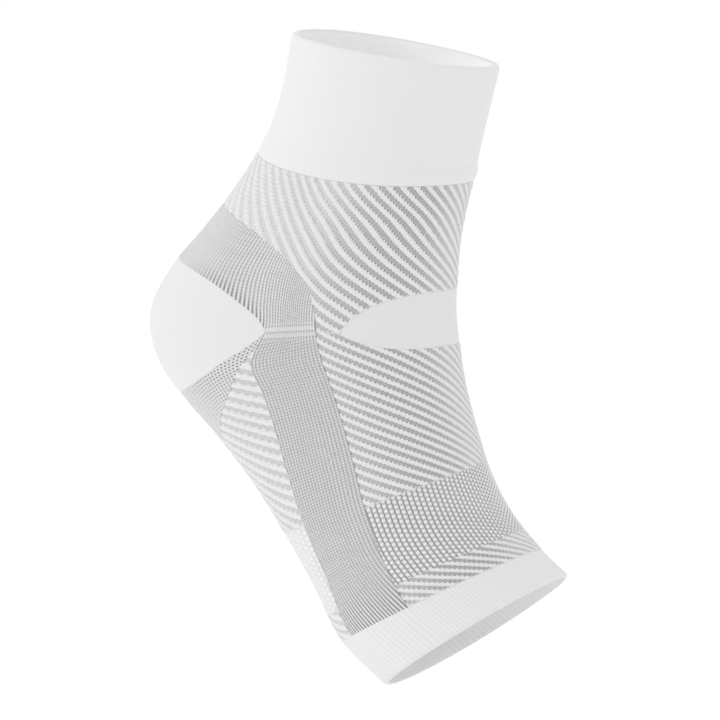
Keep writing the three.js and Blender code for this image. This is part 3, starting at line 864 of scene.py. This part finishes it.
def rib_material(name, side_lit_grey, back_light_share):
    """White diagonal ribs over a grey ground, partly grey yarn and partly painted shade in the grooves.
    Stitches notch the ribs' edges, the upper one most.
    The ground pales towards the front and round the sides, and more round the back: painted light from
    the sides that washes the grooves out there."""
    nodes = Nodes(name)
    stitch, course = nodes.uv("stitches")
    to_border, around = nodes.uv("borders")
    turn = nodes.scaled(stitch, 1 / RIB_STITCHES, nodes.times(course, 1 / RIB_COURSES))
    along = nodes.scaled(stitch, 1 / TOOTH_STITCHES, nodes.times(course, 1 / TOOTH_COURSES))
    teeth = nodes.wave(along)
    gaps = nodes.less(1.0, teeth)
    uneven = nodes.scaled(nodes.noise(RIB_NOISE, 1.0), UNEVENNESS, -UNEVENNESS / 2)
    place = nodes.add(nodes.less(turn, nodes.math("ROUND", turn)), uneven)

    # How far a point lies past the rib's upper and lower edge, as a share of a rib
    narrowing = nodes.times(nodes.step(around, *SIDE_NARROWING), NARROWING)
    upper_edge = nodes.scaled(teeth, 2 * TOOTH_DEPTH, TOOTH_EDGE - TOOTH_DEPTH)
    lower_edge = nodes.scaled(gaps, 2 * LOWER_TOOTH, RIB_EDGE - LOWER_TOOTH)
    past_upper = nodes.less(nodes.times(place, -1.0), nodes.add(upper_edge, narrowing))
    past_lower = nodes.less(place, lower_edge)
    above = nodes.step(past_upper, *UPPER_SOFTNESS)
    below = nodes.step(past_lower, *LOWER_SOFTNESS)
    closing = nodes.step(nodes.scaled(gaps, CLOSING_LAG, to_border), *CLOSING)
    groove = nodes.times(nodes.math("MAXIMUM", above, below), closing)

    # Dark dots between the stitches along the upper edge, and painted shadow in dots under the rib's
    # lower edge
    above_dots = nodes.times(nodes.step(gaps, *DOT_LENGTH), nodes.band(past_upper, *UPPER_DOTS))
    rib_shadow = nodes.times(nodes.step(teeth, *DOT_LENGTH), nodes.band(past_lower, *RIB_SHADOW_BAND))
    dots = nodes.math("MAXIMUM", above_dots, nodes.times(rib_shadow, RIB_SHADOW_SHARE))

    # Painted light: the grooves pale towards the front, round the sides and round the back
    front = nodes.times(nodes.less(1.0, nodes.step(around, *FRONT_SIDE_LIGHT)), FRONT_LIGHT_SHARE)
    side_lit = nodes.math("MAXIMUM", nodes.step(around, *SIDE_LIGHT), front)
    back_light = nodes.times(nodes.step(around, *RIB_BACK_LIGHT), back_light_share)
    # The grooves' grey is partly grey yarn and partly painted shade
    ground = nodes.mix(side_lit, GROOVE_GREY, side_lit_grey)
    tooth = nodes.mix(side_lit, DOT_AND_SHADOW_GREY, SIDE_LIT_DOT_AND_SHADOW_GREY)
    ground = nodes.mix(back_light, nodes.mix(dots, ground, tooth), FADED_GREY)
    lines = nodes.add(nodes.times(nodes.wave(stitch), RIB_LINE_SHARE), uneven)
    rung_share = nodes.times(nodes.step(around, *SIDE_RUNGS), RUNG_SHARE)
    rungs = nodes.times(nodes.wave(course), rung_share)
    yarn = nodes.mix(nodes.math("MAXIMUM", lines, rungs), WHITE, FAINT_LINE)
    nodes.colour(nodes.mix(groove, yarn, ground))
    nodes.cloth()
    nodes.bump(yarn_height(nodes, stitch, course), *COARSE_YARN)
    return nodes.material


def heel_turn(nodes, stitch, course, around, light):
    """Colour of the rows of pinholes along the turn of the heel, and where they show."""
    past = nodes.math("ABSOLUTE", nodes.less(course, TURN_COURSE))
    here = nodes.less(1.0, nodes.step(past, *TURN_REACH))
    here = nodes.times(here, nodes.less(1.0, nodes.step(around, *TURN_FADE)))
    rows = nodes.step(nodes.wave(nodes.times(past, 1 / TURN_ROWS)), 0.45, 0.9)
    holes = nodes.times(rows, nodes.step(nodes.wave(stitch), 0.2, 0.8))
    colour = nodes.mix(nodes.times(holes, PINHOLE_SHARE), grey(light), STRIP_DARK)
    return colour, nodes.times(here, TURN_SHARE)


def strip_material(name, slant, rows_share, dots_share, deepen, light):
    """Grey knit of fine ridges crossed by its courses. The ridges deepen towards the marked border
    and fade out round the back."""
    nodes = Nodes(name)
    stitch, course = nodes.uv("stitches")
    to_border, around = nodes.uv("borders")
    near = nodes.less(1.0, nodes.step(to_border, 0.0, deepen))
    calm = nodes.less(1.0, nodes.step(around, *STRIP_FADE))
    between = nodes.step(nodes.wave(stitch), 0.25, 1.0)
    bars = nodes.step(nodes.wave(nodes.scaled(stitch, slant, course)), 0.2, 1.0)
    strength = nodes.scaled(near, NEAR_LINE_SHARE, nodes.scaled(bars, dots_share, LINE_SHARE))
    lines = nodes.times(between, strength)
    bars = nodes.times(bars, nodes.scaled(near, -rows_share, rows_share))
    shade = nodes.less(nodes.add(lines, bars), nodes.times(lines, bars))
    patches = nodes.scaled(nodes.noise(STRIP_NOISE, 1.0), PATCHINESS, -PATCHINESS / 2)
    shade = nodes.times(nodes.add(shade, patches), calm)
    ground = nodes.mix(nodes.step(around, *BACK_LIGHTENING), grey(light), BACK_GREY)
    ground = nodes.mix(shade, ground, STRIP_DARK)
    deep = nodes.times(nodes.step(between, 0.5, 1.0), near)
    deep = nodes.times(deep, nodes.times(calm, DEEP_SHARE))
    ground = nodes.mix(deep, ground, HOLE_GREY)
    turn, here = heel_turn(nodes, stitch, course, around, light)
    nodes.colour(nodes.mix(here, ground, turn))
    nodes.cloth()
    nodes.bump(yarn_height(nodes, stitch, course), *COARSE_YARN)
    return nodes.material


def mesh_material(name):
    """Grey mesh with small holes in a brick pattern, fading towards the back."""
    nodes = Nodes(name)
    stitch, course = nodes.uv("stitches")
    to_border, around = nodes.uv("borders")
    odd = nodes.times(nodes.math("FLOORED_MODULO", nodes.math("ROUND", stitch), 2.0), 0.5)
    rows = nodes.wave(nodes.add(course, odd))
    holes = nodes.step(nodes.times(rows, nodes.wave(stitch)), 0.3, 0.75)
    calm = nodes.less(1.0, nodes.step(around, *MESH_FADE))
    near = nodes.less(1.0, nodes.step(to_border, 0.0, MESH_DEPTH))
    depth = nodes.times(calm, nodes.scaled(near, 1 - MESH_SHARE, MESH_SHARE))
    nodes.colour(nodes.mix(nodes.times(holes, depth), MESH_GREY, HOLE_GREY))
    nodes.cloth()
    nodes.bump(yarn_height(nodes, stitch, course), *COARSE_YARN)
    return nodes.material


def cushion_material(name):
    """White bumps two stitches wide on a grey ground, dark between their columns with painted shade in
    the furrows, paler where the cloth is stretched round the sole."""
    nodes = Nodes(name)
    stitch, course = nodes.uv("stitches")
    around = nodes.uv("borders")[1]
    place = nodes.scaled(stitch, 1 / BUMP_STITCHES, -BUMP_SHIFT / BUMP_STITCHES)
    odd = nodes.times(nodes.math("FLOORED_MODULO", nodes.math("FLOOR", place), 2.0), 0.5)
    sides, ends = nodes.wave(place), nodes.wave(nodes.scaled(course, 1 / BUMP_COURSES, odd))
    # Painted shade in the furrows between the columns of bumps
    ground = nodes.mix(nodes.step(sides, 0.6, 0.98), CUSHION_MID, CUSHION_FURROW_SHADE)
    ground = nodes.mix(nodes.times(nodes.step(around, *BALL_FADE), BALL_FADE_SHARE), ground, FADED_GREY)
    inside = nodes.times(nodes.less(1.0, sides), nodes.less(1.0, ends))
    nodes.colour(nodes.mix(nodes.step(inside, 0.02, 0.42), ground, WHITE))
    nodes.cloth()
    nodes.bump(yarn_height(nodes, stitch, course), *CUSHION_YARN)
    return nodes.material


def flat_size(wale, top, bottom):
    """Width, length and area of a zone before the foot stretches the knit round itself."""
    rows = [outer_points(wale, top(wale) + share * (bottom(wale) - top(wale)))
            for share in np.linspace(0, 1, FLAT_ROWS)]
    grid = np.array(rows)
    across = np.linalg.norm(np.diff(grid, axis=1), axis=2).sum(axis=1)
    along = np.linalg.norm(np.diff(grid, axis=0), axis=2).sum(axis=0)
    diagonals = np.cross(grid[1:, 1:] - grid[:-1, :-1], grid[1:, :-1] - grid[:-1, 1:])
    area = np.linalg.norm(diagonals, axis=2).sum() / 2
    return across.max() / KNIT_STRETCH, max(along.max(), SHORTEST_SIDE), area / KNIT_STRETCH


def make_camera():
    azimuth = math.radians(CAMERA_AZIMUTH)
    elevation = math.radians(CAMERA_ELEVATION)
    data = bpy.data.cameras.new("camera")
    data.sensor_width = SENSOR_WIDTH
    data.lens = SENSOR_WIDTH * CAMERA_DISTANCE / (FRAME_PIXELS * METRES_PER_PIXEL)
    data.clip_end = 100
    camera = bpy.data.objects.new("camera", data)
    offset = (
        math.sin(azimuth) * math.cos(elevation),
        -math.cos(azimuth) * math.cos(elevation),
        math.sin(elevation),
    )
    camera.location = [t + CAMERA_DISTANCE * o for t, o in zip(CAMERA_TARGET, offset)]
    camera.rotation_euler = (math.pi / 2 - elevation, 0, azimuth)
    bpy.context.scene.collection.objects.link(camera)
    bpy.context.scene.camera = camera


def make_pieces():
    plain = plain_material("smooth_white_knit", SOFT_WHITE, 0.0)
    cuff = plain_material("cuff_white_knit", WHITE, 0.2)
    lined = plain_material("lined_white_knit", SOFT_WHITE, 0.2)
    band = plain_material("band_white_knit", WHITE, 0.35, 2 / 3)
    ribs = rib_material("diagonal_rib_knit", SIDE_LIT_GREY, 0.85)
    sole_ribs = rib_material("sole_rib_knit", SOLE_GREY, 0.3)
    strip = strip_material("fine_ridge_knit", -0.14, 0.45, 0.1, 18.0, 0.68)
    sling = strip_material("sling_knit", 0.2, 0.08, 0.3, 4.5, 0.71)
    gusset = mesh_material("open_mesh_knit")
    cushion = cushion_material("cushion_knit")
    full = columns_between(-HALF_ROUND, HALF_ROUND)
    front = columns_between(-FRONT_STITCHES, FRONT_STITCHES)
    leaf_columns = columns_between(-LEAF_TIP_STITCH, LEAF_TIP_STITCH)
    back = columns_between(STRIP_END, 2 * HALF_ROUND - STRIP_END)
    sling_columns = columns_between(FRONT_STITCHES, 2 * HALF_ROUND - FRONT_STITCHES)
    right = columns_between(FRONT_STITCHES, STRIP_END)
    left = columns_between(-STRIP_END, -FRONT_STITCHES)
    welt, toe_band = level(WELT_EDGE), level(TOE_BAND)
    turn = level(HEEL_TURN)
    specs = (
        ("ankle_cuff", "white_knit", cuff, plain_relief, full, level(TOP_RIM), welt,
         {"wall": WELT_WALL, "lift": welt_lift, "ring": True, "free_top": True, "row_step": CLOSE_ROW}),
        ("ankle_ribs", "ribbed_knit", ribs, rib_relief, full, welt, ribs_lower,
         {"ring": True, "shift": ANKLE_SHIFT, "table": ANKLE_STITCHES}),
        ("instep_panel", "white_knit", lined, plain_relief, leaf_columns, leaf_upper, leaf_lower, {}),
        ("instep_ribs", "ribbed_knit", ribs, rib_relief, front, leaf_lower, cushion_start,
         {"shift": INSTEP_SHIFT}),
        ("metatarsal_panel", "cushion_knit", cushion, cushion_relief, front, cushion_start,
         cushion_end, {"follow": True, "row_step": CLOSE_ROW}),
        ("toe_ribs", "ribbed_knit", ribs, rib_relief, front, cushion_end, toe_band,
         {"shift": TOE_SHIFT}),
        ("heel_sling", "grey_knit", sling, fine_relief, sling_columns, sling_upper, sling_lower,
         {"beyond": FAR_COURSES}),
        ("heel_cup", "white_knit", plain, plain_relief, back, cup_upper, cup_lower, {}),
        ("arch_gusset", "grey_knit", gusset, mesh_relief, back, cup_lower, gusset_end,
         {"mark": "top"}),
        ("sole_ribs", "ribbed_knit", sole_ribs, rib_relief, back, gusset_end, cushion_start,
         {"shift": SOLE_SHIFT, "table": SOLE_STITCHES}),
        ("ball_panel", "cushion_knit", cushion, flattened(cushion_relief), back, cushion_start,
         cushion_end, {"follow": True, "row_step": CLOSE_ROW, "table": SOLE_STITCHES}),
        ("ball_ribs", "ribbed_knit", sole_ribs, flattened(rib_relief), back, cushion_end, toe_band,
         {"table": SOLE_STITCHES}),
        ("side_strip_right", "grey_knit", strip, fine_relief, right, turn, toe_band, {}),
        ("side_strip_left", "grey_knit", strip, fine_relief, left, turn, toe_band, {}),
        ("toe_band", "white_knit", band, band_relief, full, toe_band, level(TOE_RIM),
         {"wall": TOE_WALL, "lift": band_lift, "ring": True, "free_bottom": True}),
    )
    for node, slot, material, relief, columns, top, bottom, options in specs:
        settings = {"table": FOOT_STITCHES, **options}
        piece = wall_mesh(node + "_knit", columns, top, bottom, relief, **settings)
        width, length, area = flat_size(columns, top, bottom)
        piece.data.materials.append(material)
        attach(piece, "root")
        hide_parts(node)


FLOOR_HEIGHT = -0.16
FLOOR_REACH = 40.0
FLOOR_GLOW = 0.106
FLOOR_WHITE = 0.97
FLOOR_ROUGHNESS = 0.9
WORLD_STRENGTH = 0.916
# Soft lights: name, place, width and power
SOFT_LIGHTS = (
    ("key", (-1.9, -0.9, 0.9), 1.4, 8.9),
    ("top", (0.5, -0.2, 2.2), 1.6, 4.0),
)
# Small round lights inside the two openings: name, place, radius and power
INNER_LIGHTS = (
    ("in_cuff", (0.050, -0.015, 0.080), 0.012, 0.0215),
    ("in_toe", (0.055, 0.0, -0.085), 0.010, 0.014),
)


def make_stage():
    mesh = bpy.data.meshes.new("floor")
    reach = FLOOR_REACH
    corners = [(-reach, -reach), (reach, -reach), (reach, reach), (-reach, reach)]
    mesh.from_pydata([(x, y, FLOOR_HEIGHT) for x, y in corners], [], [(0, 1, 2, 3)])
    floor = bpy.data.objects.new("floor", mesh)
    bpy.context.scene.collection.objects.link(floor)
    nodes = Nodes("pale_floor")
    nodes.shader.inputs["Base Color"].default_value = (FLOOR_WHITE, FLOOR_WHITE, FLOOR_WHITE, 1)
    nodes.shader.inputs["Roughness"].default_value = FLOOR_ROUGHNESS
    nodes.shader.inputs["Emission Color"].default_value = (1, 1, 1, 1)
    nodes.shader.inputs["Emission Strength"].default_value = FLOOR_GLOW
    mesh.materials.append(nodes.material)


def add_light(name, kind, place, power):
    data = bpy.data.lights.new(name, kind)
    data.energy = power
    light = bpy.data.objects.new(name, data)
    light.location = place
    bpy.context.scene.collection.objects.link(light)
    return light


def make_lights():
    world = bpy.data.worlds.new("studio")
    world.use_nodes = True
    background = world.node_tree.nodes["Background"]
    background.inputs["Color"].default_value = (1, 1, 1, 1)
    background.inputs["Strength"].default_value = WORLD_STRENGTH
    bpy.context.scene.world = world
    for name, place, width, power in SOFT_LIGHTS:
        light = add_light(name, "AREA", place, power)
        light.data.size = width
        aim = np.array(CAMERA_TARGET) - np.array(place)
        tilt = math.atan2(math.hypot(aim[0], aim[1]), -aim[2])
        light.rotation_euler = (tilt, 0, math.atan2(aim[1], aim[0]) - math.pi / 2)
    for name, place, radius, power in INNER_LIGHTS:
        add_light(name, "POINT", place, power).data.shadow_soft_size = radius
    bpy.context.scene.view_settings.view_transform = "Standard"


make_camera()
make_pieces()
make_stage()
make_lights()
